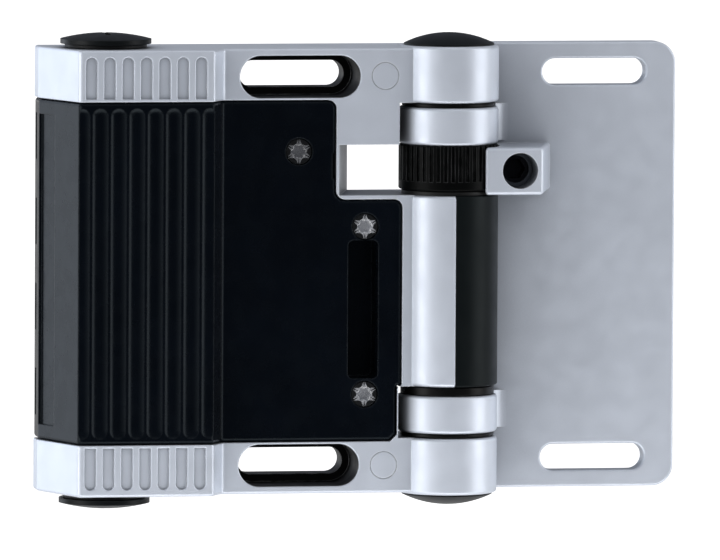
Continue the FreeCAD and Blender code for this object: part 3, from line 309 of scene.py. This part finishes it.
def surface(
    name,
    colour,
    edge_wear_and_highlight,
    metallic,
    roughness,
    grain,
    grain_depth,
    specular=0.5,
    mottle=0.1,
    edge=0.0003,
    edge_share=0.5,
    stretch=(1, 1, 1),
    shade=0.0,
    tint=WHITE,
):
    """Material with mottled colour, edges lightened by wear and painted highlight, painted shade in
    hollows where shade is set, uneven roughness and a fine grain in the bump.

    The third argument is the colour of edges, partly wear and partly painted highlight; edge is
    their width and edge_share how much of that colour they take.
    grain is in features per metre. mottle is how much darker the dark spots are. stretch is how
    many times finer gloss and grain are along X, Y and Z. shade is how far painted shade reaches in
    corners and recesses, 0 for none. tint is the colour of a black surface's gloss.
    """
    made, nodes, links = tree_of(name)
    shader = nodes["Principled BSDF"]
    shader.inputs["Metallic"].default_value = metallic
    shader.inputs["Specular IOR Level"].default_value = specular
    shader.inputs["Specular Tint"].default_value = (*tint, 1)

    dark = tuple(c * (1 - mottle) for c in colour)
    cloud = spread(nodes, links, noise(nodes, links, CLOUD_SCALE), 0, 1)
    body = mix_colour(nodes, links, cloud, dark, colour)
    # Painted shade: the colour is darkened in corners and recesses, where shade falls.
    if shade:
        body = painted_hollow_shade(nodes, links, body, colour, shade)

    # Edges take a lighter colour in patches: partly wear, partly painted highlight.
    rounded, on_edge = edge_mask(nodes, links, edge)
    patches = noise(nodes, links, EDGE_PATCH_SCALE, detail=3.0)
    patches = spread(nodes, links, patches, EDGE_PATCH_LEAST * edge_share, edge_share)
    wear_and_highlight = maths(nodes, links, "MULTIPLY", on_edge, patches)
    links.new(mix_colour(nodes, links, wear_and_highlight, body, edge_wear_and_highlight), shader.inputs["Base Color"])

    gloss = noise(nodes, links, GLOSS_SCALE, stretch=stretch)
    gloss = spread(nodes, links, gloss, roughness - GLOSS_CHANGE, roughness + GLOSS_CHANGE)
    links.new(gloss, shader.inputs["Roughness"])

    bump = nodes.new("ShaderNodeBump")
    bump.inputs["Strength"].default_value = BUMP_STRENGTH
    bump.inputs["Distance"].default_value = grain_depth
    links.new(noise(nodes, links, grain, detail=2.0, stretch=stretch), bump.inputs["Height"])
    links.new(rounded, bump.inputs["Normal"])
    links.new(bump.outputs["Normal"], shader.inputs["Normal"])
    return made


def in_slot(middle):
    """Whether a face with this middle is inside a counterbored slot of the housing."""
    along = max(abs(middle.x - SLOT_X) - SLOT_REACH, 0)
    across = abs(middle.z) - SLOT_Z
    return RECESS_FRONT < middle.y < RECESS_BACK and math.hypot(along, across) < RECESS_RADIUS


def beside_ring(middle, normal):
    """Whether a face is an upright wall of the housing right beside a ring."""
    from_hinge = math.hypot(middle.x, middle.y - HINGE_Y)
    at_ring = any(low < middle.z < high for low, high in RING_HEIGHTS)
    return at_ring and abs(normal.z) < UPRIGHT and RING_WALL[0] < from_hinge < RING_WALL[1]


def in_drive(middle):
    """Whether a face with this middle is in the drive, in the middle of a cover screw's head."""
    reach = min(math.hypot(middle.x - x, middle.z - z) for x, z in SCREW_PLACES)
    return reach < DRIVE_RADIUS


def add_camera():
    angles = (CAMERA_AZIMUTH, CAMERA_ELEVATION, CAMERA_ROLL)
    azimuth, elevation, roll = (math.radians(a) for a in angles)
    flat = math.cos(elevation)
    ahead = Vector((-math.sin(azimuth) * flat, math.cos(azimuth) * flat, -math.sin(elevation)))
    level = Vector((math.cos(azimuth), math.sin(azimuth), 0))
    above = level.cross(ahead)
    right = level * math.cos(roll) + above * math.sin(roll)
    up = above * math.cos(roll) - level * math.sin(roll)
    aim = MIDDLE + Vector(CAMERA_AIM)
    data = bpy.data.cameras.new("camera")
    data.lens = CAMERA_LENS
    data.sensor_width = CAMERA_SENSOR
    data.clip_end = CAMERA_REACH
    camera = bpy.data.objects.new("camera", data)
    turn = Matrix((right, up, -ahead)).transposed()
    camera.matrix_world = Matrix.Translation(aim - ahead * CAMERA_DISTANCE) @ turn.to_4x4()
    bpy.context.scene.collection.objects.link(camera)
    bpy.context.scene.camera = camera


def add_world():
    """Plain white for the camera, an even light on matt surfaces, and for gloss a studio.

    The studio is a white backdrop behind the object, a dim room in front of it and a ceiling.
    """
    world = bpy.data.worlds.new("studio")
    world.use_nodes = True
    bpy.context.scene.world = world
    nodes, links = world.node_tree.nodes, world.node_tree.links
    nodes.clear()
    out = nodes.new("ShaderNodeOutputWorld")
    path = nodes.new("ShaderNodeLightPath")
    place = nodes.new("ShaderNodeTexCoord")
    axes = nodes.new("ShaderNodeSeparateXYZ")
    links.new(place.outputs["Generated"], axes.inputs["Vector"])
    turned = maths(nodes, links, "MULTIPLY_ADD", axes.outputs["X"], ROOM_TURN, axes.outputs["Y"])
    behind = spread(nodes, links, turned, 0, 1, ROOM_EDGE)
    around = mix_colour(nodes, links, behind, ROOM, BACKDROP)
    above = spread(nodes, links, axes.outputs["Z"], 0, 1, CEILING_EDGE)
    seen = mix_colour(nodes, links, above, around, CEILING)
    by_ray = mix_colour(nodes, links, path.outputs["Is Camera Ray"], seen, BACKDROP)
    mirrored = maths(
        nodes, links, "MAXIMUM", path.outputs["Is Glossy Ray"], path.outputs["Is Transmission Ray"]
    )
    shown = maths(nodes, links, "MAXIMUM", mirrored, path.outputs["Is Camera Ray"])
    colour = mix_colour(nodes, links, shown, (DIFFUSE_LEVEL,) * 3, by_ray)
    background = nodes.new("ShaderNodeBackground")
    links.new(colour, background.inputs["Color"])
    links.new(background.outputs["Background"], out.inputs["Surface"])


def add_floor():
    """Pale floor well below the object."""
    made, nodes, links = tree_of("floor")
    shader = nodes["Principled BSDF"]
    shader.inputs["Roughness"].default_value = FLOOR_ROUGHNESS
    speckle = spread(nodes, links, noise(nodes, links, FLOOR_SPECKLE), 0, 1)
    links.new(mix_colour(nodes, links, speckle, *FLOOR_GREYS), shader.inputs["Base Color"])
    path = nodes.new("ShaderNodeLightPath")
    lift = maths(nodes, links, "MULTIPLY", path.outputs["Is Camera Ray"], FLOOR_LIFT)
    glow = nodes.new("ShaderNodeEmission")
    links.new(lift, glow.inputs["Strength"])
    added = nodes.new("ShaderNodeAddShader")
    links.new(shader.outputs["BSDF"], added.inputs[0])
    links.new(glow.outputs["Emission"], added.inputs[1])
    links.new(added.outputs["Shader"], nodes["Material Output"].inputs["Surface"])

    side, z = FLOOR_REACH, LOW.z - FLOOR_DROP
    corners = [(-side, FLOOR_FRONT, z), (side, FLOOR_FRONT, z), (side, side, z), (-side, side, z)]
    mesh = bpy.data.meshes.new("floor")
    mesh.from_pydata(corners, [], [(0, 1, 2, 3)])
    mesh.materials.append(made)
    floor = bpy.data.objects.new("floor", mesh)
    bpy.context.scene.collection.objects.link(floor)


def add_panel(name, azimuth, elevation, distance, width, height, power, colour):
    """Soft panel of light, placed by its direction from the object and facing it."""
    turn, rise = math.radians(azimuth), math.radians(elevation)
    flat = math.cos(rise)
    direction = Vector((math.sin(turn) * flat, -math.cos(turn) * flat, math.sin(rise)))
    data = bpy.data.lights.new(name, "AREA")
    data.shape = "RECTANGLE"
    data.size = width
    data.size_y = height
    data.energy = power
    data.color = colour
    light = bpy.data.objects.new(name, data)
    light.location = MIDDLE + direction * distance
    light.rotation_euler = (-direction).to_track_quat("-Z", "Y").to_euler()
    bpy.context.scene.collection.objects.link(light)


MATERIALS = {name: surface(name, **look) for name, look in LOOKS.items()}

for finish, names in FINISHES.items():
    for name in names:
        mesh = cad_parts[name].data
        mesh.materials.clear()
        mesh.materials.append(MATERIALS[finish])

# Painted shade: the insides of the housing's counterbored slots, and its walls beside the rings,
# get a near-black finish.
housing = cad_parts["housing"].data
housing.materials.append(MATERIALS["recess"])
for polygon in housing.polygons:
    if in_slot(polygon.center) or beside_ring(polygon.center, polygon.normal):
        polygon.material_index = 1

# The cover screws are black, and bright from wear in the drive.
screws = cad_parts["cover_screws"].data
screws.materials.append(MATERIALS["screw_head"])
for polygon in screws.polygons:
    polygon.material_index = 0 if in_drive(polygon.center) else 1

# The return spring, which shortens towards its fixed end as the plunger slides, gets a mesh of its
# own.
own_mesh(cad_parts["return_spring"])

add_camera()
add_world()
add_floor()
for panel in PANELS:
    add_panel(*panel)
bpy.context.scene.view_settings.view_transform = "Standard"
